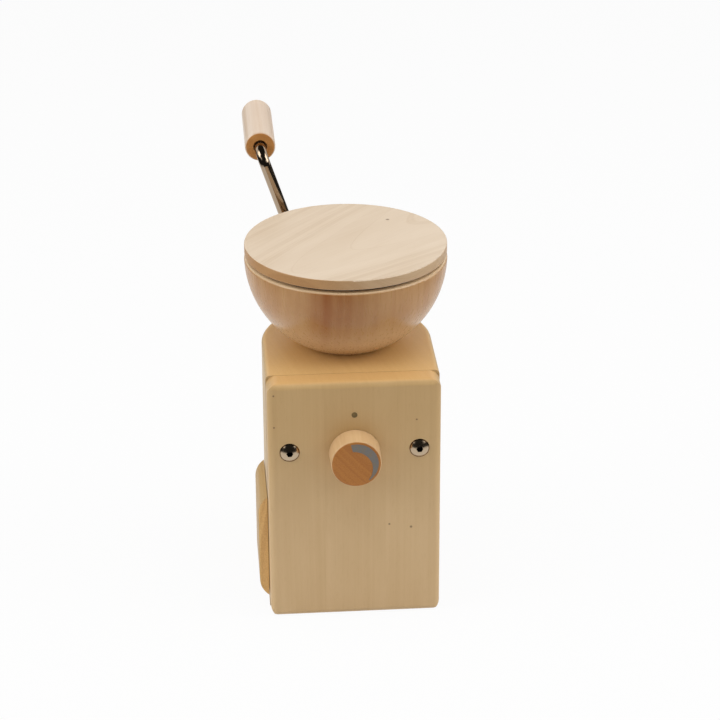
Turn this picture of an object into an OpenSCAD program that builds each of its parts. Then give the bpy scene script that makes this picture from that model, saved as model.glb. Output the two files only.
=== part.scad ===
// Hand grain mill: a round-backed wooden housing with a turned hopper and lid on top,
// a removable front panel with the fineness knob, a flour drawer in the left side and a long crank behind.
// The origin is on the table under the hopper's axis. +Z is up, the front panel faces -Y, the crank is at +Y.
// The grain falls from the hopper onto an auger, which pushes it forward through the eye of the fixed stone.
// The running stone is in front of it, and the flour drops from the rim of the stones into the drawer.

/* [Housing] */
// Height of the housing and of the front panel
housing_h = 227; // [218:1:245]
// Thickness of the front panel
panel_t = 20; // [18:0.5:26]
// Radius of the round back, which is also half the housing's width
back_r = 75; // [73:0.5:82]
// How far the front panel's sides stand inside the housing's sides
panel_inset = 0.25; // [0:0.25:3]
// From the hopper's axis forward to the back of the front panel
front_reach = 76; // [74:0.5:84]
// Height of the mill shaft's axis above the table
shaft_z = 160; // [154:0.5:166]
// Corner radius of the front panel, seen from the front
panel_corner_r = 10; // [4:0.5:16]
// Roundover of the front panel's front edges
panel_edge_r = 5.5; // [2:0.5:8]
// Roundover of the front panel's back edges, which leaves a fine groove at the housing
panel_back_r = 0.5; // [0.25:0.25:2]
// Roundover of the housing's top edge
top_edge_r = 4.5; // [1:0.5:8]
// Thickness of the base board
base_t = 15; // [10:0.5:20]

/* [Hopper and lid] */
// Outer radius of the hopper bowl
bowl_r = 88.5; // [84:0.5:96]
// Radius of the bowl's foot where it stands on the housing
foot_r = 40; // [32:0.5:46]
// Thickness of the bowl's wall at its rim
bowl_wall = 9; // [7:0.5:12]
// Thickness of the bowl's floor beside the throat
bowl_floor = 9.5; // [7:0.5:14]
// Height of the rim above the widest level of the bowl
rim_rise = 0; // [0:0.5:4]
// Roundover of the rim's outer edge
rim_edge_r = 2.4; // [0.4:0.2:3]
// Radius of the feed throat
throat_r = 14; // [12:0.5:15]
// Length of the bowl's spigot in the housing
spigot_h = 10; // [6:0.5:14]
// Wall of the bowl's spigot
spigot_wall = 5.5; // [4:0.5:8]
// Thickness of the lid's top board
lid_t = 9; // [7:0.5:12]
// How far the lid's edge stands inside the bowl's edge
lid_inset = 0.3; // [0:0.1:2]
// Height of the shadow gap between the lid's edge and the rim
lid_step_h = 3; // [1:0.2:4]
// How deep the shadow gap goes in from the bowl's edge
lid_step_inset = 6; // [2:0.5:6]
// How far the lid's liner reaches into the bowl
liner_h = 5; // [3:0.5:8]
// Roundover of the lid's edges
lid_edge_r = 1; // [0.5:0.25:3]

/* [Stones] */
// Radius of both stones
stone_r = 44; // [40:0.5:46]
// Thickness of each stone
stone_t = 14; // [11:0.5:15]
// Gap between the stones at the coarse setting
stone_gap = 1.6; // [1.5:0.1:2.5]
// Space between the stones' rim and the chamber wall
chamber_room = 5; // [3:0.5:6]
// Radius of the fixed stone's eye
eye_r = 17; // [16:0.5:20]
// Thickness of the steel plates behind the stones
plate_t = 4; // [3:0.5:5]
// Number of furrows on each stone
furrow_n = 9; // [6:3:12]
// Width of a furrow
furrow_w = 4; // [2:0.5:6]
// Depth of a furrow
furrow_d = 1.5; // [0.5:0.1:2.5]
// Room between the front panel and the running stone's plate
front_room = 13; // [12.5:0.5:16]

/* [Shaft and crank] */
// Radius of the mill shaft
shaft_r = 6; // [5:0.25:6.5]
// Outer radius of the shaft's bearing bushes
bush_r = 9; // [8:0.25:10.5]
// Length of the inner bearing bush
inner_bush_l = 22; // [14:1:28]
// Length of the rear bearing bush inside the housing
rear_bush_l = 24; // [14:1:26]
// Radius of the rear bush's flange
flange_r = 15; // [13:0.5:18]
// Thickness of the bush flanges
flange_t = 3; // [2:0.25:4]
// Outer radius of the auger's flights
auger_r = 14; // [11:0.25:14.5]
// Pitch of the auger
auger_pitch = 26; // [18:1:36]
// Radius of the crank rod
rod_r = 5; // [4:0.25:5.5]
// From the shaft's axis to the grip's axis
crank_l = 216.5; // [180:0.5:240]
// Lean of the crank to the left of upright
crank_lean = 18.5; // [0:0.5:60]
// Radius of the rod's bend, at its centre line
bend_r = 12; // [9:0.5:16]
// Gap between the crank rod and the hopper as it passes behind
crank_gap = 3.5; // [2:0.5:10]
// Radius of the crank's hub
hub_r = 13; // [12:0.5:16]
// How far the hub reaches behind the rod's centre line
hub_back = 12; // [9:0.5:15]

/* [Grip] */
// Radius of the grip
grip_r = 13.75; // [12.5:0.25:17]
// Length of the grip
grip_l = 95; // [80:1:110]
// Roundover of the grip's far end
grip_end_r = 7; // [3:0.5:9]
// Roundover of the grip's near end
grip_near_r = 2; // [0.5:0.5:4]
// Radius of the recess around the rod at the near end
grip_recess_r = 6.25; // [6:0.25:8]
// Depth of that recess
grip_recess_d = 5; // [2:0.5:8]
// Thickness of the plug that closes the grip's far end
plug_t = 8; // [8:0.5:12]

/* [Knob and adjuster] */
// Radius of the knob at the panel
knob_r = 22.3; // [22:0.1:27]
// Radius of the knob at its front face
knob_face_r = 21.6; // [20:0.2:22]
// How far the knob stands out of the panel
knob_h = 21.5; // [17:0.5:26]
// Roundover of the knob's front edge
knob_edge_r = 1.5; // [0.5:0.25:3]
// Outer radius of the setting mark
mark_r = 19; // [17:0.25:19.5]
// Radius of the circle that hollows the mark out to a crescent
mark_hollow_r = 16.8; // [15:0.1:16.9]
// How far that circle is moved off the knob's axis
mark_shift = 5.5; // [4:0.1:6.5]
// Thickness of the setting mark
mark_t = 0.3; // [0.2:0.1:0.6]
// Radius of the adjusting spindle
spindle_r = 5; // [4:0.25:5.5]
// Radius of the adjusting plunger
plunger_r = 8; // [7.5:0.25:8.5]
// Outer radius of the panel bush
panel_bush_r = 11; // [10.5:0.25:13]
// Thickness of the panel bush's front web
bush_web = 6; // [4:0.25:7]
// Height of the index dot above the knob's axis
index_rise = 36.5; // [30:0.5:45]
// Radius of the index dot
index_r = 2.5; // [1.5:0.25:4]

/* [Panel nuts] */
// From the middle of the panel to each nut
nut_x = 56; // [55:0.5:60]
// Height of the nuts above the shaft's axis
nut_rise = 2.6; // [-5:0.1:10]
// Radius of a nut's head
nut_head_r = 8.7; // [7:0.1:10]
// Height of the domed head
nut_head_h = 3.4; // [2.5:0.1:5]
// Radius of a nut's sleeve
nut_sleeve_r = 5; // [4.5:0.25:6]
// Radius of the studs
stud_r = 3; // [2:0.25:3.5]
// How far the studs go into the housing
stud_in = 30; // [20:1:36]
// Width across the corners of the hex sockets in the nuts
nut_hex = 6; // [4:0.1:8]

/* [Drawer] */
// Width of the drawer bay, front to back
bay_w = 63; // [50:0.5:68]
// Wall between the drawer bay and the front panel
bay_front_wall = 7; // [6:0.5:12]
// Wall at the closed end of the drawer bay
bay_end_wall = 12; // [8:0.5:20]
// How far the drawer front laps over the housing around the bay
drawer_lap = 5; // [3:0.25:5.75]
// Thickness of the drawer front
drawer_front_t = 8; // [6:0.2:11]
// Radius that rounds the drawer front off at its top and bottom
drawer_round_r = 20; // [12:0.5:26]
// Roundover of the drawer front's two upright edges
drawer_edge_r = 1.5; // [0.5:0.25:4]
// Thickness of the drawer's side and end boards
drawer_side_t = 5; // [3:0.25:7]
// Thickness of the drawer's bottom board
drawer_bottom_t = 4; // [3:0.25:6]
// Room above the drawer in its bay
drawer_head_room = 4; // [1:0.25:8]
// Wood between the milling chamber and the drawer bay
chute_h = 8; // [5:0.5:12]
// Width of the flour chute
chute_w = 48; // [36:1:52]

/* [Fits] */
// Clearance of glued and pressed fits
seat_gap = 0.02; // [0.01:0.01:0.04]
// Radial clearance of turning and sliding fits
run_gap = 0.05; // [0.03:0.01:0.1]
// Clearance around the drawer
drawer_gap = 0.4; // [0.2:0.05:0.8]
// Clearance between the knob and the panel
knob_gap = 0.3; // [0.2:0.05:0.6]
// Clearance of the lid on the rim
lid_gap = 0.1; // [0.05:0.05:0.3]
// Clearance of the lid's liner inside the bowl
liner_room = 0.7; // [0.4:0.1:1.5]

/* [Hidden] */
$fn = 64;
e = 0.5;

// Small distances along the shaft
throat_ledge = 2;
flange_sink = 2;
hub_gap = 2;
shaft_end_gap = 1;
grip_gap = 4;

// Places along Y, front to back
front_y = -front_reach - panel_t;
carrier_y = -front_reach + front_room;
running_y = carrier_y + plate_t;
fixed_y = running_y + stone_t + stone_gap;
backing_y = fixed_y + stone_t;
chamber_y = backing_y + plate_t;
auger_end_y = throat_r + throat_ledge;
flange_y = back_r - flange_sink;
hub_y = flange_y + flange_t + hub_gap;
arm_y = max(bowl_r + rod_r + crank_gap, hub_y + hub_r + rod_r);
hub_end_y = arm_y + hub_back;
shaft_end_y = arm_y - rod_r - shaft_end_gap;
grip_y = arm_y + bend_r + grip_gap;
grip_end_y = grip_y + grip_l;

// Widths and heights
panel_w = 2 * (back_r - panel_inset);
chamber_r = stone_r + chamber_room;
split_z = shaft_z - chamber_r - chute_h;
bowl_z = housing_h + sqrt(bowl_r * bowl_r - foot_r * foot_r);
rim_z = bowl_z + rim_rise;
hollow_r = bowl_r - bowl_wall;
hollow_z = housing_h + bowl_floor + hollow_r;
lid_z = rim_z + lid_step_h;
liner_z = rim_z - liner_h;
spigot_r = throat_r + spigot_wall;

// Rotor
auger_room = 1.5;
auger_bore_r = auger_r + auger_room;
auger_front_y = fixed_y + 2 * auger_room;
auger_back_y = auger_end_y - 2 * auger_room;
auger_core_wall = 2;
auger_core_r = shaft_r + auger_core_wall;
auger_blade = 3;
auger_slices = 30;
carrier_hub_wall = 4;
carrier_hub_r = shaft_r + carrier_hub_wall;
carrier_hub_l = 8.5;
shaft_front_y = carrier_y - carrier_hub_l;
drive_pin_r = 2;
pin_inset = 0.5;
ball_r = 2.5;
ball_out = 1;
ball_y = shaft_front_y + ball_r - ball_out;
ball_room = 0.3;
drive_pin_y = ball_y + ball_r + drive_pin_r + ball_room;
hub_pin_r = 2;
hub_pin_y = (hub_y + shaft_end_y) / 2;
set_screw_r = 3;
set_screw_hex_r = 1.8;
set_screw_hex_d = 3.5;
set_screw_sink = 0.8;

// Grip inside
grip_chamber_l = 13;
grip_bore_end_y = grip_end_y - plug_t - grip_chamber_l;
grip_chamber_room = 4;
grip_chamber_r = rod_r + grip_chamber_room;
ring_t = 2.2;
ring_lip = 2.5;
ring_r = rod_r + ring_lip;
ring_room = 0.3;
ring_y = grip_bore_end_y + ring_room;
pin_past_ring = 3;
pin_end_y = ring_y + ring_t + pin_past_ring;
plug_sink = 0.2;

// Adjuster
collar_t = 2.5;
collar_room = 0.6;
collar_r = plunger_r - collar_room;
collar_y = front_y + bush_web + run_gap;
stem_step = 1;
stem_r = spindle_r - stem_step;
spindle_in = 14;
plunger_room = 1;
plunger_y = collar_y + collar_t + plunger_room;
plunger_end_y = shaft_front_y - ball_out - run_gap;
plunger_bottom = 3.2;
stem_room = 1.5;
stem_end_y = plunger_end_y - plunger_bottom - stem_room;
bush_flange_w = 9;
bush_flange_r = panel_bush_r + bush_flange_w;
bush_screw_r = 1.5;
bush_screw_pcr = panel_bush_r + bush_flange_w / 2;
bush_screw_l = 10;
bush_screw_head = 1.6;
key_r = 1.5;
key_in = 6.5;
key_y = plunger_y + key_in;
key_depth = 1.4;
key_travel = 2.2;
mark_lean = -120;
mark_from = -55;
mark_to = 104;
index_l = 8;

// Nuts and studs
nut_web = 5.5;
nut_back_gap = 3.5;
nut_sleeve_l = panel_t - nut_back_gap;
nut_dome_r = (nut_head_r * nut_head_r + nut_head_h * nut_head_h) / (2 * nut_head_h);
nut_hex_d = 4.5;
stud_room = 1;
stud_front_y = front_y + nut_web + stud_room;

// Drawer
bay_y = -front_reach + bay_front_wall;
bay_end_x = back_r - bay_end_wall;
drawer_end_room = 1;
box_y = bay_y + drawer_gap;
box_w = bay_w - 2 * drawer_gap;
box_x = -back_r - drawer_gap;
box_l = bay_end_x - drawer_end_room - box_x;
box_z = base_t + drawer_gap;
box_h = split_z - drawer_head_room - box_z;
chute_y = max(running_y, box_y + drawer_side_t);

// Flare of the running stone's eye and fixing screws of the fixed stone
eye_flare = 6;
stone_screw_r = 2;
stone_screw_head_r = 4;
stone_screw_head_h = 3;
stone_screw_sink = 3;
stone_screw_y = fixed_y + stone_screw_sink;
stone_screw_head_y = stone_screw_y + stone_screw_head_h;
stone_screw_in = 12;
stone_screw_pcr = (eye_r + stone_r) / 2;

// A cylinder along +Y on an axis at height z, from y1 to y2
module along_y(r, y1, y2, z = shaft_z, x = 0) {
    translate([x, y1, z]) rotate([-90, 0, 0]) cylinder(r = r, h = y2 - y1);
}

// A ring along +Y on the shaft's axis
module ring_y(r, bore, y1, y2) {
    difference() {
        along_y(r, y1, y2);
        along_y(bore, y1 - e, y2 + e);
    }
}

// A flat outline on the shaft's axis, seen from the front, from y1 back to y2
module on_front(y1, y2) {
    translate([0, y2, shaft_z]) rotate([90, 0, 0]) linear_extrude(y2 - y1) children();
}

// Anything drawn upright on the shaft's axis at y, leaned to the left as the crank is
module leaned(y) {
    translate([0, y, shaft_z]) rotate([0, -crank_lean, 0]) children();
}

// Anything drawn along +Y on the grip's axis, with the origin at the shaft's axis level of the crank
module on_grip() {
    leaned(0) translate([0, 0, crank_l]) children();
}

// A rectangle with round corners, its lower edge on the X axis and its middle on the Y axis
module round_rect(w, h, r) {
    translate([-w / 2 + r, 0]) square([w - 2 * r, h]);
    translate([-w / 2, r]) square([w, h - 2 * r]);
    for (x = [-w / 2 + r, w / 2 - r], y = [r, h - r]) translate([x, y]) circle(r);
}

// A rectangle from the origin with its far upper corner rounded
module round_corner(w, h, r) {
    square([w - r, h]);
    square([w, h - r]);
    translate([w - r, h - r]) intersection() {
        circle(r);
        square(r);
    }
}

// Plan of the housing: straight sides and a round back
module housing_plan() {
    intersection() {
        circle(back_r);
        translate([-back_r, 0]) square([2 * back_r, back_r]);
    }
    translate([-back_r, -front_reach]) square([2 * back_r, front_reach]);
}

// The housing's outside from z1 up to its rounded top
module housing_top(z1) {
    h = housing_h - z1;
    translate([0, 0, z1]) {
        rotate_extrude(angle = 180) round_corner(back_r, h, top_edge_r);
        for (side = [0, 1]) mirror([side, 0, 0])
            rotate([90, 0, 0]) linear_extrude(front_reach) round_corner(back_r, h, top_edge_r);
    }
}

module base_board() {
    color("burlywood") linear_extrude(base_t) housing_plan();
}

module lower_housing() {
    color("burlywood") difference() {
        translate([0, 0, base_t]) linear_extrude(split_z - base_t) housing_plan();
        translate([-back_r - e, bay_y, base_t - e])
            cube([bay_end_x + back_r + e, bay_w, split_z - base_t + 2 * e]);
    }
}

module upper_housing() {
    color("burlywood") difference() {
        housing_top(split_z);
        along_y(chamber_r, -front_reach - e, chamber_y);
        translate([-chute_w / 2, chute_y, split_z - e])
            cube([chute_w, backing_y - chute_y, chamber_r]);
        along_y(auger_bore_r, chamber_y - e, auger_end_y);
        along_y(bush_r + seat_gap, auger_end_y - e, back_r + e);
        along_y(flange_r + e, flange_y, back_r + e);
        translate([0, 0, shaft_z]) cylinder(r = throat_r, h = housing_h - shaft_z + e);
        translate([0, 0, housing_h - spigot_h - seat_gap])
            cylinder(r = spigot_r + seat_gap, h = spigot_h + e);
        for (x = [-nut_x, nut_x])
            along_y(stud_r + seat_gap, -front_reach - e, -front_reach + stud_in, shaft_z + nut_rise, x);
        at_stone_screws() along_y(stone_screw_r + seat_gap, chamber_y - e, chamber_y + stone_screw_in);
    }
}

// Half of the front panel's section across one of its edges, with its back on the X axis
module panel_section(half) {
    intersection() {
        round_corner(half, panel_t, panel_edge_r);
        translate([0, panel_t]) mirror([0, 1]) round_corner(half, panel_t, panel_back_r);
    }
}

module panel_blank() {
    intersection() {
        translate([0, -front_reach, 0]) rotate([90, 0, 0])
            linear_extrude(panel_t) round_rect(panel_w, housing_h, panel_corner_r);
        for (side = [0, 1]) mirror([side, 0, 0])
            translate([0, -front_reach, 0]) mirror([0, 1, 0])
                linear_extrude(housing_h) panel_section(panel_w / 2);
        translate([0, 0, housing_h / 2]) for (end = [0, 1]) mirror([0, 0, end])
            translate([-panel_w / 2, -front_reach, 0]) rotate([90, 0, 90])
                linear_extrude(panel_w) mirror([1, 0, 0]) rotate(90) mirror([0, 1, 0])
                    panel_section(housing_h / 2);
    }
}

module front_panel() {
    color("wheat") difference() {
        panel_blank();
        along_y(panel_bush_r + seat_gap, front_y - e, -front_reach + e);
        along_y(index_r + seat_gap, front_y - e, front_y + index_l, shaft_z + index_rise);
        for (x = [-nut_x, nut_x])
            along_y(nut_sleeve_r + seat_gap, front_y - e, -front_reach + e, shaft_z + nut_rise, x);
        at_bush_screws()
            along_y(bush_screw_r + seat_gap, -front_reach - bush_screw_l, -front_reach + e);
    }
}

module panel_studs() {
    color("silver") for (x = [-nut_x, nut_x])
        along_y(stud_r, stud_front_y, -front_reach + stud_in, shaft_z + nut_rise, x);
}

module panel_nut() {
    difference() {
        union() {
            intersection() {
                translate([0, nut_dome_r - nut_head_h, 0]) sphere(nut_dome_r);
                along_y(nut_head_r, -nut_head_h - e, 0, 0);
            }
            along_y(nut_sleeve_r, 0, nut_sleeve_l, 0);
        }
        translate([0, -nut_head_h - e, 0]) rotate([-90, 0, 0])
            cylinder(r = nut_hex / 2, h = nut_hex_d + e, $fn = 6);
        along_y(stud_r + seat_gap, nut_web, nut_sleeve_l + e, 0);
    }
}

module panel_nuts() {
    color("gainsboro") for (x = [-nut_x, nut_x]) translate([x, front_y, shaft_z + nut_rise]) panel_nut();
}

module index_dot() {
    color("dimgray") along_y(index_r, front_y - mark_t, front_y + index_l, shaft_z + index_rise);
}

module at_bush_screws() {
    for (a = [90, 210, 330]) translate([bush_screw_pcr * cos(a), 0, bush_screw_pcr * sin(a)]) children();
}

module panel_bush() {
    color("goldenrod") difference() {
        union() {
            along_y(panel_bush_r, front_y + run_gap, -front_reach);
            along_y(bush_flange_r, -front_reach, -front_reach + flange_t);
        }
        along_y(spindle_r + run_gap, front_y - e, front_y + bush_web + e);
        along_y(plunger_r + run_gap, front_y + bush_web, -front_reach + flange_t + e);
        translate([0, key_y, shaft_z]) cylinder(r = key_r + seat_gap, h = panel_bush_r + e);
        at_bush_screws() along_y(bush_screw_r + seat_gap, -front_reach - e, -front_reach + flange_t + e);
    }
}

module panel_bush_screws() {
    color("silver") at_bush_screws() {
        along_y(bush_screw_r, -front_reach - bush_screw_l + e, -front_reach + flange_t);
        along_y(2 * bush_screw_r, -front_reach + flange_t, -front_reach + flange_t + bush_screw_head);
    }
}

module plunger_key() {
    color("silver") translate([0, key_y, shaft_z + plunger_r - key_depth])
        cylinder(r = key_r, h = panel_bush_r - plunger_r + key_depth - 4 * seat_gap);
}

module hopper_bowl() {
    color("tan") rotate_extrude() difference() {
        union() {
            intersection() {
                translate([0, bowl_z]) circle(bowl_r);
                translate([0, housing_h]) round_corner(bowl_r, rim_z - housing_h, rim_edge_r);
            }
            translate([0, housing_h - spigot_h]) square([spigot_r, spigot_h + e]);
        }
        translate([-bowl_r, housing_h - spigot_h - e]) square([bowl_r, rim_z]);
        translate([0, hollow_z]) circle(hollow_r);
        translate([0, housing_h - spigot_h - e]) square([throat_r, rim_z - housing_h]);
    }
}

module inner_bearing() {
    color("goldenrod") ring_y(bush_r, shaft_r + run_gap, auger_end_y, auger_end_y + inner_bush_l);
}

module rear_bearing() {
    color("goldenrod") difference() {
        union() {
            along_y(bush_r, flange_y - rear_bush_l, flange_y);
            along_y(flange_r, flange_y, flange_y + flange_t);
        }
        along_y(shaft_r + run_gap, flange_y - rear_bush_l - e, flange_y + flange_t + e);
    }
}

// Radial furrows on the face at y, cut depth d towards +Y or, if negative, towards -Y
module furrows(y, d) {
    for (i = [0:furrow_n - 1])
        translate([0, y, shaft_z]) rotate([0, i * 360 / furrow_n, 0])
            translate([eye_r / 2, d > 0 ? -e : d, -furrow_w / 2]) cube([stone_r, abs(d) + e, furrow_w]);
}

module at_stone_screws() {
    for (i = [0:2]) {
        a = 180 / furrow_n + i * 120;
        translate([stone_screw_pcr * cos(a), 0, stone_screw_pcr * sin(a)]) children();
    }
}

module fixed_stone() {
    color("lightgray") difference() {
        ring_y(stone_r, eye_r, fixed_y, backing_y);
        furrows(fixed_y, furrow_d);
        at_stone_screws() {
            along_y(stone_screw_r + seat_gap, fixed_y - e, backing_y + e);
            along_y(stone_screw_head_r + seat_gap, fixed_y - e, stone_screw_head_y);
        }
    }
}

module fixed_stone_plate() {
    color("silver") difference() {
        ring_y(stone_r, eye_r, backing_y, chamber_y);
        at_stone_screws() along_y(stone_screw_r + seat_gap, backing_y - e, chamber_y + e);
    }
}

module fixed_stone_screws() {
    color("silver") at_stone_screws() {
        along_y(stone_screw_head_r, stone_screw_y, stone_screw_head_y);
        along_y(stone_screw_r, stone_screw_y, chamber_y + stone_screw_in - 1);
    }
}

module adjusting_plunger() {
    side = 4 * run_gap;
    color("silver") difference() {
        along_y(plunger_r, plunger_y, plunger_end_y);
        along_y(stem_r + run_gap, plunger_y - e, plunger_end_y - plunger_bottom);
        translate([-key_r - side, key_y - key_r - key_travel, shaft_z + plunger_r - key_depth - side])
            cube([2 * (key_r + side), 2 * key_r + key_travel + side, plunger_r]);
    }
}

module adjusting_knob() {
    color("tan") difference() {
        translate([0, front_y, shaft_z]) rotate([90, 0, 0]) rotate_extrude() difference() {
            union() {
                polygon([[0, knob_gap], [knob_r, knob_gap], [knob_face_r, knob_h - knob_edge_r],
                    [knob_face_r - knob_edge_r, knob_h - knob_edge_r], [knob_face_r - knob_edge_r, knob_h],
                    [0, knob_h]]);
                translate([knob_face_r - knob_edge_r, knob_h - knob_edge_r]) circle(knob_edge_r);
            }
            translate([-knob_r, 0]) square([knob_r, knob_h]);
        }
        along_y(spindle_r + seat_gap, front_y - spindle_in, front_y);
    }
}

// The crescent that fades out around the knob's face
module crescent() {
    reach = 2 * mark_r;
    difference() {
        circle(mark_r);
        translate([mark_shift * cos(mark_lean), mark_shift * sin(mark_lean)]) circle(mark_hollow_r);
        polygon(concat([[0, 0]], [for (i = [0:4])
            let(a = mark_to + i * (360 + mark_from - mark_to) / 4) reach * [cos(a), sin(a)]]));
    }
}

module setting_mark() {
    color("slategray") on_front(front_y - knob_h - mark_t, front_y - knob_h) crescent();
}

module adjusting_spindle() {
    color("silver") {
        along_y(spindle_r, front_y - spindle_in + seat_gap, collar_y + e);
        along_y(collar_r, collar_y, collar_y + collar_t);
        along_y(stem_r, collar_y, stem_end_y);
    }
}

module main_shaft() {
    color("silver") difference() {
        along_y(shaft_r, shaft_front_y, shaft_end_y);
        along_y(ball_r + seat_gap, shaft_front_y - e, ball_y + ball_r + seat_gap);
        translate([0, drive_pin_y, shaft_z])
            cylinder(r = drive_pin_r + seat_gap, h = 2 * carrier_hub_r, center = true);
        at_hub_pin() cylinder(r = hub_pin_r + seat_gap, h = 4 * shaft_r, center = true);
    }
}

module thrust_ball() {
    color("white") translate([0, ball_y, shaft_z]) sphere(ball_r);
}

module running_stone() {
    color("lightgray") difference() {
        ring_y(stone_r, auger_core_r, running_y, running_y + stone_t);
        furrows(running_y + stone_t, -furrow_d);
        translate([0, running_y + stone_t + e, shaft_z]) rotate([90, 0, 0])
            cylinder(r1 = eye_r + eye_flare, r2 = eye_r - eye_flare, h = stone_t / 2);
    }
}

module running_stone_plate() {
    color("silver") difference() {
        union() {
            along_y(stone_r, carrier_y, running_y);
            along_y(carrier_hub_r, shaft_front_y, carrier_y + e);
        }
        along_y(shaft_r + seat_gap, shaft_front_y - e, running_y + e);
        translate([0, drive_pin_y, shaft_z])
            cylinder(r = drive_pin_r + seat_gap, h = 4 * carrier_hub_r, center = true);
    }
}

module drive_pin() {
    color("silver") translate([0, drive_pin_y, shaft_z])
        cylinder(r = drive_pin_r, h = 2 * (carrier_hub_r - pin_inset), center = true);
}

module feed_auger() {
    l = auger_back_y - auger_front_y;
    color("silver") translate([0, auger_front_y, shaft_z]) rotate([-90, 0, 0]) difference() {
        union() {
            cylinder(r = auger_core_r, h = l, $fn = 32);
            linear_extrude(l, twist = 360 * l / auger_pitch, slices = auger_slices)
                translate([0, -auger_blade / 2]) square([auger_r, auger_blade]);
        }
        translate([0, 0, -e]) cylinder(r = shaft_r + 4 * seat_gap, h = l + 2 * e, $fn = 32);
    }
}

// The pin that locks the crank hub to the shaft, square to the crank
module at_hub_pin() {
    leaned(hub_pin_y) rotate([0, 90, 0]) children();
}

module crank_hub() {
    color("gainsboro") difference() {
        along_y(hub_r, hub_y, hub_end_y);
        along_y(shaft_r + seat_gap, hub_y - e, shaft_end_y + seat_gap);
        leaned(arm_y) cylinder(r = rod_r + seat_gap, h = 4 * hub_r, center = true);
        along_y(set_screw_r + seat_gap, arm_y, hub_end_y + e);
        at_hub_pin() cylinder(r = hub_pin_r + seat_gap, h = 4 * hub_r, center = true);
    }
}

module crank_hub_pin() {
    color("silver") at_hub_pin() cylinder(r = hub_pin_r, h = 2 * (hub_r - pin_inset), center = true);
}

module crank_set_screw() {
    color("dimgray") difference() {
        along_y(set_screw_r, arm_y + rod_r + seat_gap, hub_end_y - set_screw_sink);
        translate([0, hub_end_y - set_screw_hex_d, shaft_z]) rotate([-90, 0, 0])
            cylinder(r = set_screw_hex_r, h = set_screw_hex_d, $fn = 6);
    }
}

module crank_arm() {
    tail = hub_r - pin_inset;
    color("gainsboro") leaned(arm_y) {
        translate([0, 0, -tail]) cylinder(r = rod_r, h = crank_l - bend_r + tail);
        translate([0, bend_r, crank_l - bend_r]) rotate([90, 0, -90])
            rotate_extrude(angle = 90) translate([bend_r, 0]) circle(rod_r);
        translate([0, bend_r, crank_l]) rotate([-90, 0, 0])
            cylinder(r = rod_r, h = pin_end_y - arm_y - bend_r);
    }
}

module grip_retaining_ring() {
    color("dimgray") on_grip() translate([0, ring_y, 0]) rotate([-90, 0, 0]) difference() {
        cylinder(r = ring_r, h = ring_t);
        translate([0, 0, -e]) cylinder(r = rod_r + seat_gap, h = ring_t + 2 * e);
    }
}

module crank_grip() {
    color("bisque") on_grip() translate([0, grip_y, 0]) rotate([-90, 0, 0]) difference() {
        rotate_extrude() {
            translate([0, grip_l / 2]) round_corner(grip_r, grip_l / 2, grip_end_r);
            translate([0, grip_l / 2]) mirror([0, 1]) round_corner(grip_r, grip_l / 2, grip_near_r);
        }
        translate([0, 0, -e]) cylinder(r = rod_r + run_gap, h = grip_l + 2 * e);
        translate([0, 0, -e]) cylinder(r = grip_recess_r, h = grip_recess_d + e);
        translate([0, 0, grip_bore_end_y - grip_y]) cylinder(r = grip_chamber_r, h = grip_l);
    }
}

module grip_plug() {
    color("bisque") on_grip() translate([0, grip_end_y - plug_t, 0]) rotate([-90, 0, 0])
        cylinder(r = grip_chamber_r - seat_gap, h = plug_t - plug_sink);
}

module drawer_front() {
    z1 = base_t - drawer_lap;
    z2 = split_z + drawer_lap;
    arc = sqrt(drawer_round_r * drawer_round_r - pow(drawer_round_r - drawer_front_t, 2));
    w = bay_w + 2 * drawer_lap;
    color("tan") translate([box_x, bay_y + bay_w / 2, 0]) intersection() {
        translate([0, w / 2, 0]) rotate([90, 0, 0]) linear_extrude(w) intersection() {
            translate([-drawer_front_t, z1]) square([drawer_front_t, z2 - z1]);
            union() {
                translate([-drawer_front_t, z1 + arc]) square([drawer_round_r, z2 - z1 - 2 * arc]);
                for (z = [z1 + arc, z2 - arc])
                    translate([drawer_round_r - drawer_front_t, z]) circle(drawer_round_r);
            }
        }
        translate([0, 0, z1]) linear_extrude(z2 - z1) mirror([1, 0])
            for (side = [0, 1]) mirror([0, side]) round_corner(drawer_front_t, w / 2, drawer_edge_r);
    }
}

module drawer_side(y) {
    color("wheat") translate([box_x, y, box_z]) cube([box_l, drawer_side_t, box_h]);
}

module drawer_left_side() {
    drawer_side(box_y + box_w - drawer_side_t);
}

module drawer_right_side() {
    drawer_side(box_y);
}

module drawer_end() {
    x = box_x + box_l - drawer_side_t;
    color("wheat") translate([x, box_y + drawer_side_t, box_z + drawer_bottom_t])
        cube([drawer_side_t, box_w - 2 * drawer_side_t, box_h - drawer_bottom_t]);
}

module drawer_bottom() {
    color("wheat") translate([box_x, box_y + drawer_side_t, box_z])
        cube([box_l, box_w - 2 * drawer_side_t, drawer_bottom_t]);
}

module lid_board() {
    r = bowl_r - lid_inset;
    color("wheat") translate([0, 0, lid_z + lid_t / 2]) rotate_extrude() {
        round_corner(r, lid_t / 2, lid_edge_r);
        mirror([0, 1]) round_corner(r, lid_t / 2, lid_edge_r);
    }
}

module lid_liner() {
    plug_r = sqrt(hollow_r * hollow_r - pow(hollow_z - liner_z, 2)) - liner_room;
    color("wheat") {
        translate([0, 0, rim_z + lid_gap]) cylinder(r = bowl_r - lid_step_inset, h = lid_step_h - lid_gap);
        translate([0, 0, liner_z]) cylinder(r = plug_r, h = liner_h + lid_step_h);
    }
}

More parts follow.
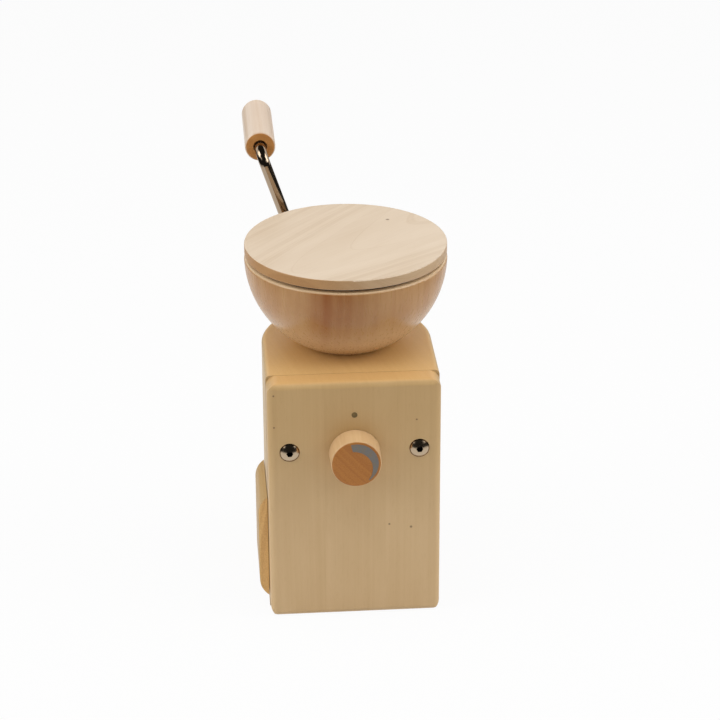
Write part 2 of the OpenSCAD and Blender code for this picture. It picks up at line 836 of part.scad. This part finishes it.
base_board();
lower_housing();
upper_housing();
front_panel();
panel_studs();
panel_nuts();
index_dot();
panel_bush();
panel_bush_screws();
plunger_key();
hopper_bowl();
inner_bearing();
rear_bearing();
fixed_stone();
fixed_stone_plate();
fixed_stone_screws();
adjusting_plunger();
adjusting_knob();
setting_mark();
adjusting_spindle();
main_shaft();
thrust_ball();
running_stone();
running_stone_plate();
drive_pin();
feed_auger();
crank_hub();
crank_hub_pin();
crank_set_screw();
crank_arm();
grip_retaining_ring();
crank_grip();
grip_plug();
drawer_front();
drawer_left_side();
drawer_right_side();
drawer_end();
drawer_bottom();
lid_board();
lid_liner();
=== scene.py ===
"""Looks of a hand grain mill: oiled wood, bright chrome and ceramic millstones in a white studio.

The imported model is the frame, and its solids keep their shapes. All lengths are metres in the frame's own
axes: +Z is up, the front panel faces -Y and the crank is at +Y.
"""

import math
from dataclasses import dataclass

import bpy
from mathutils import Matrix, Vector


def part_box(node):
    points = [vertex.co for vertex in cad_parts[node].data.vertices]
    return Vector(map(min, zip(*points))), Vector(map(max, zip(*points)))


X, Y, Z = Vector((1, 0, 0)), Vector((0, 1, 0)), Vector((0, 0, 1))
WHITE = (1, 1, 1, 1)

# Camera at the photograph's viewing angle
CAMERA_PLACE = (-0.1360, -2.0064, 1.1443)
CAMERA_YAW = math.radians(4.220)
CAMERA_PITCH = math.radians(25.072)
CAMERA_ROLL = math.radians(-0.276)
SENSOR_WIDTH = 36.0
LENS = 125.0
CLIP_START = 0.05
CLIP_END = 60.0

# Soft light of the room, in front and behind, and how far a ray points backwards where it changes
AMBIENT_FRONT = 0.25
AMBIENT_BACK = 0.36
AMBIENT_TURN = (-0.6, 0.3)

# What mirrors see: a dark room, and a white wall in rays that point backwards and not too far up
DARK_ROOM = 0.02
WALL_START = (0.0, 0.2)
WALL_TOP = (0.5, 0.65)

# White floor, and the edges of the table that mirrors see on it
FLOOR_SIZE = 40.0
FLOOR_COLOUR = (0.76, 0.76, 0.76, 1)
FLOOR_GLOW = 0.94
TABLE_FRONT = -0.38
TABLE_SIDE = 0.45
TABLE_FADE = 0.4

# All lamps point here
LIGHT_TARGET = (0.0, 0.0, 0.18)

# Patterns of wood: repeats in a metre, across the grain, in depth and along the grain
RING_DRIFT = (9, 9, 2.2)
FIBRES = (420, 420, 9)
CLOUDS = (30, 30, 9)
FLECKS = (800, 800, 110)
PORES = (900, 900, 60)

# How far apart in the log two staves can have been
STAVE_SHIFT = 0.9

# Where most values of a noise lie, and how near the middle of them a fine ring line is
NOISE_RANGE = (0.3, 0.7)
RING_LINE = 0.035

# End grain: how far a surface faces along the grain where it is full, and its share of the dark tone
END_GRAIN_FULL = 0.97
END_GRAIN_DARK = 0.35

# Turned edges: how far a surface faces in depth where the edge's tint starts to fade and where it ends
TURNED_EDGE = (0.3, 0.8)

# Knots: the part of the radius that is darkest, and how dark it is
KNOT_CORE = 0.3
KNOT_STRENGTH = 0.75

# Depth of the relief of fibres
FIBRE_DEPTH = 0.0003

# Small dark knots: a point of each and its radius
PANEL_KNOTS = (((0.030, 0, 0.089), 0.0013), ((0.049, 0, 0.0855), 0.0016), ((-0.069, 0, 0.217), 0.0012),
               ((-0.069, 0, 0.187), 0.0012), ((0.0535, 0, 0.190), 0.0012))
LID_KNOTS = (((0.0405, 0.0462, 0), 0.0022),)

# The lid's grain, the depth of its log's pith under the top, and tints that multiply a colour
LID_GRAIN = Vector((0.743, 0.669, 0.0)).normalized()
LID_HEART_DEPTH = 0.04
LID_EDGE = (0.81, 0.69, 0.54, 1)
# Painted shade: a tint that darkens and warms the front panel towards its top
PANEL_TOP_SHADE = (0.88, 0.84, 0.72, 1)

# Nuts: the sockets' radius, the depth where the sockets' painted shade starts, and the width of the ring of
# painted shade at the heads' edge
SOCKET_RADIUS = 0.0031
SOCKET_EDGE = 0.0005
NUT_EDGE_SHADE = 0.0011


# Colours

def srgb(red, green, blue):
    """A colour as it is seen on a screen, from 0 to 255, as the linear colour that Blender wants."""
    def linear(value):
        part = value / 255
        return part / 12.92 if part <= 0.04045 else ((part + 0.055) / 1.055) ** 2.4
    return (linear(red), linear(green), linear(blue), 1.0)


def tinted(colour, tint, share):
    """A colour that is multiplied in part by a tint."""
    return tuple(part * (1 - share + share * other) for part, other in zip(colour, tint))


# Node helpers

def put(tree, socket, value):
    """Links a socket or a node's first output to an input, or sets the input to a constant."""
    if isinstance(value, bpy.types.Node):
        value = value.outputs[0]
    if isinstance(value, bpy.types.NodeSocket):
        tree.links.new(value, socket)
    else:
        socket.default_value = value


def add(tree, kind, inputs=None, **settings):
    """A new shader node with its settings, and its inputs by name or place."""
    made = tree.nodes.new("ShaderNode" + kind)
    for key, value in settings.items():
        setattr(made, key, value)
    for key, value in (inputs or {}).items():
        put(tree, made.inputs[key], value)
    return made


def calc(tree, operation, *values):
    """The result of a Math node."""
    return add(tree, "Math", dict(enumerate(values)), operation=operation).outputs[0]


def dot(tree, vector, axis):
    """How far a vector reaches along a fixed axis."""
    return add(tree, "VectorMath", {0: vector, 1: tuple(axis)}, operation="DOT_PRODUCT").outputs["Value"]


def length(tree, *sides):
    """The length of a vector from its sides."""
    vector = add(tree, "CombineXYZ", dict(enumerate(sides)))
    return add(tree, "VectorMath", {0: vector}, operation="LENGTH").outputs["Value"]


def mix(tree, share, first, second, blend="MIX"):
    """Two colours mixed."""
    made = add(tree, "Mix", data_type="RGBA", blend_type=blend)
    put(tree, made.inputs[0], share)
    put(tree, made.inputs[6], first)
    put(tree, made.inputs[7], second)
    return made.outputs[2]


def rescale(tree, value, low, high, to_low=0.0, to_high=1.0, smooth=True):
    """A value taken from one range to another and kept inside it."""
    ends = {"Value": value, 1: low, 2: high, 3: to_low, 4: to_high}
    return add(tree, "MapRange", ends, interpolation_type="SMOOTHSTEP" if smooth else "LINEAR").outputs[0]


def fade(tree, value, low, high):
    """1 up to the low end of a range, falling to 0 at its high end."""
    return rescale(tree, value, low, high, 1.0, 0.0)


def noise(tree, vector, scale=1.0, detail=2.0, roughness=0.5):
    """Noise around 0.5 in three dimensions."""
    inputs = {"Vector": vector, "Scale": scale, "Detail": detail, "Roughness": roughness}
    return add(tree, "TexNoise", inputs)


def stretched(tree, sides, factors):
    """The three coordinates, each multiplied by its factor."""
    scaled = [calc(tree, "MULTIPLY", side, factor) for side, factor in zip(sides, factors)]
    return add(tree, "CombineXYZ", dict(enumerate(scaled)))


def layer(tree, tone, pattern, strength):
    """A tone with a pattern around 0.5 added to it."""
    return calc(tree, "MULTIPLY_ADD", calc(tree, "SUBTRACT", pattern, 0.5), strength, tone)


def material(name):
    """A new material with its node tree and its main shader."""
    made = bpy.data.materials.new(name)
    made.use_nodes = True
    return made, made.node_tree, made.node_tree.nodes["Principled BSDF"]


def bump(tree, surface, height, strength, distance):
    """Small relief from a height."""
    made = add(tree, "Bump", {"Strength": strength, "Distance": distance, "Height": height})
    put(tree, surface.inputs["Normal"], made)


# Wood

@dataclass
class Wood:
    """One kind of wood. Strengths are shares of the step from the light tone to the dark one."""
    # Directions along the grain and across it
    grain: Vector
    across: Vector
    # Colours of the light tone, the dark tone and the end grain
    light: tuple
    dark: tuple
    end: tuple
    # The log's pith, across the grain and in depth
    pith: tuple
    # Growth rings: their distance, how they widen along the grain, how far they wander and their strength
    ring_gap: float = 0.005
    taper: float = 0.0
    wave: float = 0.006
    figure: float = 0.25
    # Strength of fine lines between the rings, of fibres, clouds and flecks
    lines: float = 0.0
    fibre: float = 0.4
    cloud: float = 0.5
    fleck: float = 0.1
    # Glued staves: their width, the first one's edge and number, and how much their tones differ
    stave: float = 1.0
    stave_from: float = -0.5
    first_stave: int = 0
    stave_tone: float = 0.25
    # A band of painted shade across the grain, darker in its middle: where it starts, is full, grows paler
    # and ends, and its strength
    centre_shade: tuple = None
    # Painted shade that grows along the grain, making a board darker and warmer: where it starts, where it
    # is full, and the tint
    shade_along_grain: tuple = None
    # Tint of a turned edge that has drunk more oil than the faces
    edge: tuple = None
    # Knots that run through the board
    knots: tuple = ()
    # How far a surface faces along the grain where its end grain starts, and the strength of the pores there
    end_from: float = 0.6
    pore: float = 0.6
    # Roughness and relief of the surface
    roughness: float = 0.42
    relief: float = 0.12


def stave_number(tree, look, u):
    """A random number for each glued stave."""
    place = calc(tree, "DIVIDE", calc(tree, "SUBTRACT", u, look.stave_from), look.stave)
    number = calc(tree, "ADD", calc(tree, "FLOOR", place), look.first_stave)
    return add(tree, "TexWhiteNoise", {"W": number}, noise_dimensions="1D").outputs["Value"]


def growth_rings(tree, look, u, v, w, sides, shift):
    """Rings around the pith, which wander a little and widen along the grain."""
    drift = noise(tree, stretched(tree, sides, RING_DRIFT))
    apart = add(tree, "SeparateColor", {0: drift.outputs["Color"]})
    bent = [calc(tree, "MULTIPLY_ADD", apart.outputs[i], 2 * look.wave, calc(tree, "SUBTRACT", side, middle))
            for i, (side, middle) in enumerate(zip((u, v), look.pith))]
    radius = calc(tree, "ADD", length(tree, *bent), shift)
    depth = calc(tree, "MULTIPLY_ADD", w, -look.taper, radius)
    inputs = {"W": depth, "Scale": 1 / look.ring_gap, "Detail": 2.0}
    return add(tree, "TexNoise", inputs, noise_dimensions="1D").outputs[0]


def wood_tone(tree, look, u, board, rings, fibres, clouds):
    """How dark the wood is, from 0 for its light tone to 1 for its dark one."""
    tone = layer(tree, 0.5, rescale(tree, rings, *NOISE_RANGE), look.figure)
    tone = layer(tree, tone, fibres, look.fibre)
    tone = layer(tree, tone, clouds, look.cloud)
    tone = layer(tree, tone, board, look.stave_tone)
    line = fade(tree, calc(tree, "ABSOLUTE", calc(tree, "SUBTRACT", rings, 0.5)), 0.0, RING_LINE)
    tone = calc(tree, "MULTIPLY_ADD", calc(tree, "MULTIPLY", line, clouds), look.lines, tone)
    # Painted shade: a band across the grain, darkest in its middle
    if look.centre_shade:
        start, full, paler, last, strength = look.centre_shade
        shade_band = calc(tree, "MULTIPLY", rescale(tree, u, start, full), fade(tree, u, paler, last))
        tone = calc(tree, "MULTIPLY_ADD", shade_band, strength, tone)
    return rescale(tree, tone, 0.0, 1.0, smooth=False)


def with_tints(tree, look, colour, w, facing_depth):
    """A colour with painted shade that grows along the grain and the tint of its turned edge."""
    # Painted shade that darkens the board along its grain
    if look.shade_along_grain:
        start, full, tint = look.shade_along_grain
        colour = mix(tree, rescale(tree, w, start, full), colour, tint, "MULTIPLY")
    if look.edge:
        colour = mix(tree, fade(tree, facing_depth, *TURNED_EDGE), colour, look.edge, "MULTIPLY")
    return colour


def with_knots(tree, look, colour, u, w):
    """A colour with small dark knots."""
    for point, size in look.knots:
        middle = Vector(point)
        beside = calc(tree, "SUBTRACT", u, middle.dot(look.across))
        along = calc(tree, "SUBTRACT", w, middle.dot(look.grain))
        dark = rescale(tree, length(tree, beside, along), KNOT_CORE * size, size, KNOT_STRENGTH, 0.0)
        colour = mix(tree, dark, colour, srgb(96, 62, 30))
    return colour


def with_end_grain(tree, look, colour, places, rings, facing_grain):
    """A colour with end grain, which has a colour of its own and shows the rings and the pores."""
    pores = noise(tree, stretched(tree, places, PORES)).outputs[0]
    tone = layer(tree, 0.5, rescale(tree, rings, *NOISE_RANGE), look.pore)
    tone = layer(tree, tone, rescale(tree, pores, *NOISE_RANGE), look.pore)
    tone = rescale(tree, tone, 0.0, 1.0, smooth=False)
    cut = mix(tree, tone, look.end, tinted(look.end, look.dark, END_GRAIN_DARK))
    return mix(tree, rescale(tree, facing_grain, look.end_from, END_GRAIN_FULL), colour, cut)


def wood(name, look):
    """Oiled wood. In it u runs across the grain, v in depth and w along the grain."""
    made, tree, surface = material(name)
    coords = add(tree, "TexCoord")
    place, normal = coords.outputs["Object"], coords.outputs["Normal"]
    deep = look.grain.cross(look.across)
    u, v, w = (dot(tree, place, axis) for axis in (look.across, deep, look.grain))
    facing_depth = calc(tree, "ABSOLUTE", dot(tree, normal, deep))
    facing_grain = calc(tree, "ABSOLUTE", dot(tree, normal, look.grain))

    # Each stave comes out of another part of the log
    board = stave_number(tree, look, u)
    shift = calc(tree, "MULTIPLY", board, STAVE_SHIFT)
    sides = (u, calc(tree, "ADD", v, shift), calc(tree, "ADD", w, shift))

    rings = growth_rings(tree, look, u, v, w, sides, shift)
    fibres = noise(tree, stretched(tree, sides, FIBRES), detail=3.0, roughness=0.6).outputs[0]
    clouds = noise(tree, stretched(tree, sides, CLOUDS)).outputs[0]
    flecks = rescale(tree, noise(tree, stretched(tree, sides, FLECKS), detail=1.0).outputs[0], 0.58, 0.70)

    tone = wood_tone(tree, look, u, board, rings, fibres, clouds)
    colour = mix(tree, tone, look.light, look.dark)
    colour = mix(tree, calc(tree, "MULTIPLY", flecks, look.fleck), colour, look.dark, "MULTIPLY")
    colour = with_tints(tree, look, colour, w, facing_depth)
    colour = with_knots(tree, look, colour, u, w)
    colour = with_end_grain(tree, look, colour, (u, v, w), rings, facing_grain)
    put(tree, surface.inputs["Base Color"], colour)

    roughness = rescale(tree, fibres, 0.2, 0.8, look.roughness - 0.05, look.roughness + 0.1)
    put(tree, surface.inputs["Roughness"], roughness)
    bump(tree, surface, layer(tree, fibres, flecks, -0.6), look.relief, FIBRE_DEPTH)
    return made


def panel_wood():
    """The front panel: three glued staves with small knots, and painted shade that makes it darker and
    warmer towards the top.
    """
    return wood("panel_wood", Wood(
        grain=Z, across=X, light=srgb(222, 190, 143), dark=srgb(202, 166, 117), end=srgb(222, 180, 118),
        pith=(0.9, 0.1), ring_gap=0.004, figure=0.12, fibre=0.14, cloud=0.8, fleck=0.05,
        stave=0.053, stave_from=-0.026, first_stave=22, shade_along_grain=(0.07, 0.20, PANEL_TOP_SHADE),
        knots=PANEL_KNOTS, pore=0.15))


def housing_wood():
    """The housing's glued layers, with end grain on top."""
    return wood("housing_wood", Wood(
        grain=Z, across=X, light=srgb(206, 176, 128), dark=srgb(188, 154, 102), end=srgb(228, 188, 125),
        pith=(0.9, 0.2), stave=0.05, stave_from=-0.025, pore=0.15))


def bowl_wood():
    """The turned hopper, with a band of painted shade down its middle."""
    return wood("bowl_wood", Wood(
        grain=Z, across=X, light=srgb(208, 169, 115), dark=srgb(150, 84, 18), end=srgb(242, 216, 175),
        pith=(1.5, 0.0), ring_gap=0.006, figure=0.12, fibre=0.12, cloud=0.3, fleck=0.03, stave_tone=0.0,
        centre_shade=(-0.046, -0.022, -0.024, 0.032, 0.44), end_from=0.25, pore=0.1, roughness=0.28, relief=0.003))


def lid_wood():
    """The pale lid, sawn near the log's pith, with a darker turned edge."""
    heart_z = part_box("lid_board")[1][2] - LID_HEART_DEPTH
    return wood("lid_wood", Wood(
        grain=LID_GRAIN, across=Z.cross(LID_GRAIN),
        light=srgb(229, 211, 188), dark=srgb(209, 186, 158), end=srgb(188, 142, 90),
        pith=(-0.005, heart_z), ring_gap=0.008, taper=0.12, wave=0.010, figure=0.10, lines=0.5, fibre=0.12,
        cloud=0.7, fleck=0.03, edge=LID_EDGE, knots=LID_KNOTS, end_from=0.4))


def liner_painted_shade():
    """The liner under the lid, coloured dark brown as painted shade for the shadow gap between the lid and
    the bowl.
    """
    # Painted shade: these dark tones stand for the shadow in the gap under the lid
    return wood("liner_painted_shade", Wood(
        grain=LID_GRAIN, across=Z.cross(LID_GRAIN),
        light=srgb(108, 74, 50), dark=srgb(90, 60, 38), end=srgb(82, 54, 34), pith=(0.1, 0.2)))


def knob_wood():
    """The turned knob, with clear rings on its face."""
    return wood("knob_wood", Wood(
        grain=Y, across=X, light=srgb(224, 190, 144), dark=srgb(204, 165, 117), end=srgb(184, 118, 44),
        pith=(0.25, -0.41), fleck=0.05, pore=0.9))


def grip_wood():
    """The pale turned grip, darker at its ends."""
    return wood("grip_wood", Wood(
        grain=Y, across=X, light=srgb(230, 212, 192), dark=srgb(210, 182, 154), end=srgb(196, 136, 70),
        pith=(-0.4, 0.45), fleck=0.05, end_from=0.75, roughness=0.32))


def drawer_wood():
    """The drawer's boards, with the grain from front to back."""
    return wood("drawer_wood", Wood(
        grain=Y, across=Z, light=srgb(193, 155, 86), dark=srgb(174, 133, 66), end=srgb(238, 196, 128),
        pith=(0.02, 0.2)))


# Metal, stone and paint

def nut_places():
    """The nuts' distance from the middle, their height, the front of their heads and their radius."""
    low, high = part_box("panel_nuts")
    radius = (high[2] - low[2]) / 2
    return high[0] - radius, (low[2] + high[2]) / 2, low[1], radius


def nut_shade(tree, coords, shade):
    """The nuts' colour, with painted shade in their sockets and a ring of painted shade at the edge of their
    heads.
    """
    apart, height, front, radius = nut_places()
    x, y, z = (dot(tree, coords, axis) for axis in (X, Y, Z))
    beside = calc(tree, "SUBTRACT", calc(tree, "ABSOLUTE", x), apart)
    away = length(tree, beside, calc(tree, "SUBTRACT", z, height))
    # Painted shade: the sockets turn near black below their rim
    sunk = rescale(tree, y, front + SOCKET_EDGE, front + 2 * SOCKET_EDGE)
    socket = calc(tree, "MULTIPLY", calc(tree, "LESS_THAN", away, SOCKET_RADIUS), sunk)
    shade = mix(tree, socket, shade, srgb(30, 27, 25))
    # Painted shade: a dark brown ring at the heads' edge, where the nuts meet the wood
    edge_shade = rescale(tree, away, radius - NUT_EDGE_SHADE, radius - NUT_EDGE_SHADE / 2)
    return mix(tree, edge_shade, shade, srgb(100, 70, 38))


def chrome(name, tint, roughness, nuts=False):
    """Chrome with the faint haze of fingers."""
    made, tree, surface = material(name)
    coords = add(tree, "TexCoord").outputs["Object"]
    haze = noise(tree, coords, scale=60.0, detail=3.0).outputs[0]
    hazy = tinted(tint, srgb(150, 130, 112), 0.1)
    shade = mix(tree, rescale(tree, haze, 0.3, 0.8), tint, hazy)
    if nuts:
        shade = nut_shade(tree, coords, shade)
    put(tree, surface.inputs["Base Color"], shade)
    surface.inputs["Metallic"].default_value = 1.0
    put(tree, surface.inputs["Roughness"], rescale(tree, haze, 0.35, 0.75, roughness, roughness + 0.06))
    return made


def turned_metal(name, colour, worn, roughness):
    """Machined metal with fine tool marks around the mill's axis."""
    made, tree, surface = material(name)
    coords = add(tree, "TexCoord").outputs["Object"]
    sides = add(tree, "SeparateXYZ", {0: coords}).outputs
    marks = noise(tree, stretched(tree, (sides[0], sides[1], sides[2]), (60, 2600, 60))).outputs[0]
    clouds = noise(tree, coords, scale=70.0, detail=3.0).outputs[0]
    put(tree, surface.inputs["Base Color"], mix(tree, rescale(tree, clouds, 0.35, 0.7), colour, worn))
    surface.inputs["Metallic"].default_value = 1.0
    polish = rescale(tree, marks, 0.2, 0.8, roughness - 0.08, roughness + 0.1)
    put(tree, surface.inputs["Roughness"], polish)
    bump(tree, surface, marks, 0.12, 0.0002)
    return made


def millstone():
    """Ceramic-bound corundum: pale grains and dark ones, about a millimetre across, in a grey bond."""
    made, tree, surface = material("millstone")
    coords = add(tree, "TexCoord").outputs["Object"]
    grains = add(tree, "TexVoronoi", {"Vector": coords, "Scale": 900.0})
    bond = noise(tree, coords, scale=240.0, detail=4.0, roughness=0.65).outputs[0]
    speck = add(tree, "SeparateColor", {0: grains.outputs["Color"]}).outputs[0]
    shade = mix(tree, rescale(tree, bond, 0.35, 0.7), srgb(196, 190, 180), srgb(160, 154, 146))
    shade = mix(tree, rescale(tree, speck, 0.72, 0.95), shade, srgb(228, 224, 216))
    shade = mix(tree, rescale(tree, speck, 0.16, 0.03), shade, srgb(92, 88, 84))
    put(tree, surface.inputs["Base Color"], shade)
    put(tree, surface.inputs["Roughness"], rescale(tree, bond, *NOISE_RANGE, 0.75, 0.95))
    bump(tree, surface, calc(tree, "ADD", grains.outputs["Distance"], bond), 0.5, 0.0005)
    return made


def stain(name, colour, worn):
    """Thin paint on wood, with a little wear."""
    made, tree, surface = material(name)
    coords = add(tree, "TexCoord").outputs["Object"]
    patches = noise(tree, coords, scale=320.0, detail=4.0, roughness=0.6).outputs[0]
    put(tree, surface.inputs["Base Color"], mix(tree, rescale(tree, patches, 0.4, 0.75), colour, worn))
    put(tree, surface.inputs["Roughness"], rescale(tree, patches, *NOISE_RANGE, 0.5, 0.7))
    bump(tree, surface, patches, 0.1, 0.0002)
    return made


# Dressing

def cover(frame, made, *names):
    """Gives solids a material."""
    for name in names:
        mesh = frame["nodes"][name].data
        mesh.materials.clear()
        mesh.materials.append(made)


def dress(frame):
    """Gives every solid its material."""
    cover(frame, panel_wood(), "front_panel")
    cover(frame, housing_wood(), "base_board", "lower_housing", "upper_housing")
    cover(frame, bowl_wood(), "hopper_bowl")
    cover(frame, lid_wood(), "lid_board")
    cover(frame, liner_painted_shade(), "lid_liner")
    cover(frame, knob_wood(), "adjusting_knob")
    cover(frame, grip_wood(), "crank_grip", "grip_plug")
    cover(frame, drawer_wood(),
          "drawer_front", "drawer_left_side", "drawer_right_side", "drawer_end", "drawer_bottom")
    cover(frame, chrome("chrome", srgb(172, 153, 131), 0.09), "crank_arm", "crank_hub")
    cover(frame, chrome("nut_chrome", srgb(186, 166, 140), 0.18, nuts=True), "panel_nuts")
    cover(frame, turned_metal("steel", srgb(190, 190, 188), srgb(150, 150, 150), 0.28),
          "panel_studs", "panel_bush_screws", "plunger_key", "fixed_stone_plate", "fixed_stone_screws",
          "adjusting_plunger", "adjusting_spindle", "main_shaft", "thrust_ball", "running_stone_plate",
          "drive_pin", "feed_auger", "crank_hub_pin")
    cover(frame, turned_metal("dark_steel", srgb(58, 58, 60), srgb(84, 82, 80), 0.42),
          "crank_set_screw", "grip_retaining_ring")
    cover(frame, turned_metal("brass", srgb(206, 170, 98), srgb(176, 134, 70), 0.3),
          "panel_bush", "inner_bearing", "rear_bearing")
    cover(frame, millstone(), "fixed_stone", "running_stone")
    cover(frame, stain("mark_grey", srgb(119, 115, 110), srgb(134, 117, 93)), "setting_mark")
    cover(frame, stain("dot_grey", srgb(110, 92, 54), srgb(132, 106, 60)), "index_dot")


# Studio

def seen_directly(tree, path):
    """1 for rays that come from the camera, also through glass."""
    return calc(tree, "MAXIMUM", path.outputs["Is Camera Ray"], path.outputs["Is Transmission Ray"])


def studio_world():
    """Soft light, more of it from behind. Mirrors see a white wall at the back and a dark room in front."""
    world = bpy.data.worlds.new("studio")
    world.use_nodes = True
    tree = world.node_tree
    way = add(tree, "SeparateXYZ", {0: add(tree, "TexCoord").outputs["Generated"]})
    back, up = way.outputs["Y"], way.outputs["Z"]
    soft = rescale(tree, back, *AMBIENT_TURN, AMBIENT_FRONT, AMBIENT_BACK)
    wall = calc(tree, "MULTIPLY", rescale(tree, back, *WALL_START), fade(tree, up, *WALL_TOP))
    mirrored = calc(tree, "MAXIMUM", wall, DARK_ROOM)
    path = add(tree, "LightPath")
    choice = {0: path.outputs["Is Glossy Ray"], 2: soft, 3: mirrored}
    level = add(tree, "Mix", choice, data_type="FLOAT").outputs[0]
    background = tree.nodes["Background"]
    background.inputs["Color"].default_value = WHITE
    put(tree, background.inputs["Strength"], calc(tree, "MAXIMUM", level, seen_directly(tree, path)))
    bpy.context.scene.world = world


def floor_white():
    """White paper with the object's shadow. Mirrors see it end in front and at the sides, as a table."""
    made, tree, surface = material("floor_white")
    tree.nodes.remove(surface)
    place = add(tree, "SeparateXYZ", {0: add(tree, "TexCoord").outputs["Object"]})
    side = calc(tree, "ABSOLUTE", place.outputs["X"])
    table = calc(tree, "MULTIPLY", rescale(tree, place.outputs["Y"], TABLE_FRONT - TABLE_FADE, TABLE_FRONT),
                 fade(tree, side, TABLE_SIDE, TABLE_SIDE + TABLE_FADE))
    path = add(tree, "LightPath")
    shown = seen_directly(tree, path)
    paper = add(tree, "BsdfDiffuse", {"Color": FLOOR_COLOUR})
    strength = calc(tree, "MAXIMUM", calc(tree, "MAXIMUM", table, shown), DARK_ROOM)
    glow = add(tree, "Emission", {"Color": WHITE, "Strength": strength})
    share = calc(tree, "MAXIMUM", calc(tree, "MULTIPLY", shown, FLOOR_GLOW), path.outputs["Is Glossy Ray"])
    shader = add(tree, "MixShader", {0: share, 1: paper, 2: glow})
    put(tree, tree.nodes["Material Output"].inputs["Surface"], shader)
    return made


def floor():
    """A square floor under the object."""
    half = FLOOR_SIZE / 2
    corners = [(-half, -half, 0), (half, -half, 0), (half, half, 0), (-half, half, 0)]
    mesh = bpy.data.meshes.new("floor")
    mesh.from_pydata(corners, [], [(0, 1, 2, 3)])
    mesh.materials.append(floor_white())
    plane = bpy.data.objects.new("floor", mesh)
    bpy.context.scene.collection.objects.link(plane)


def softbox(name, place, width, height, power, mirrored=True):
    """A soft light that points at the object and isn't seen by the camera."""
    lamp = bpy.data.lights.new(name, "AREA")
    lamp.shape = "RECTANGLE"
    lamp.size, lamp.size_y, lamp.energy = width, height, power
    holder = bpy.data.objects.new(name, lamp)
    bpy.context.scene.collection.objects.link(holder)
    holder.location = place
    holder.rotation_euler = (Vector(LIGHT_TARGET) - Vector(place)).to_track_quat("-Z", "Y").to_euler()
    holder.visible_camera = False
    holder.visible_glossy = mirrored


def lamps():
    """Softboxes at both sides, in front and above. Small ones give the chrome its light spots."""
    for side in (-1, 1):
        softbox("side_light", (2.0 * side, -0.35, 1.5), width=1.3, height=1.4, power=20.0)
        softbox("front_light", (1.9 * side, -1.1, 1.0), width=1.4, height=1.4, power=3.7, mirrored=False)
        softbox("small_light", (1.32 * side, -1.25, 1.05), width=0.5, height=0.5, power=0.8)
    softbox("top_light", (0.0, -0.3, 2.5), width=2.0, height=2.0, power=24.5, mirrored=False)


def camera():
    """The photograph's camera."""
    lens = bpy.data.cameras.new("camera")
    lens.sensor_width, lens.lens = SENSOR_WIDTH, LENS
    lens.clip_start, lens.clip_end = CLIP_START, CLIP_END
    holder = bpy.data.objects.new("camera", lens)
    bpy.context.scene.collection.objects.link(holder)
    turn = (Matrix.Rotation(-CAMERA_YAW, 4, "Z") @ Matrix.Rotation(math.pi / 2 - CAMERA_PITCH, 4, "X")
            @ Matrix.Rotation(CAMERA_ROLL, 4, "Z"))
    holder.matrix_world = Matrix.Translation(CAMERA_PLACE) @ turn
    bpy.context.scene.camera = holder


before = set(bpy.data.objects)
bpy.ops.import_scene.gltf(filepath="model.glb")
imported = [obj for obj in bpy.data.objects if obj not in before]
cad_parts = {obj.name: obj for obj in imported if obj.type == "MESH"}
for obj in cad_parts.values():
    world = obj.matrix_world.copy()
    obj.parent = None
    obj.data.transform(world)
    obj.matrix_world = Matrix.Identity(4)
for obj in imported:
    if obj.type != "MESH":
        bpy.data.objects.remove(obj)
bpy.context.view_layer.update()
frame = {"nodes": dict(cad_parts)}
bpy.context.scene.view_settings.view_transform = "Standard"
dress(frame)
studio_world()
floor()
lamps()
camera()
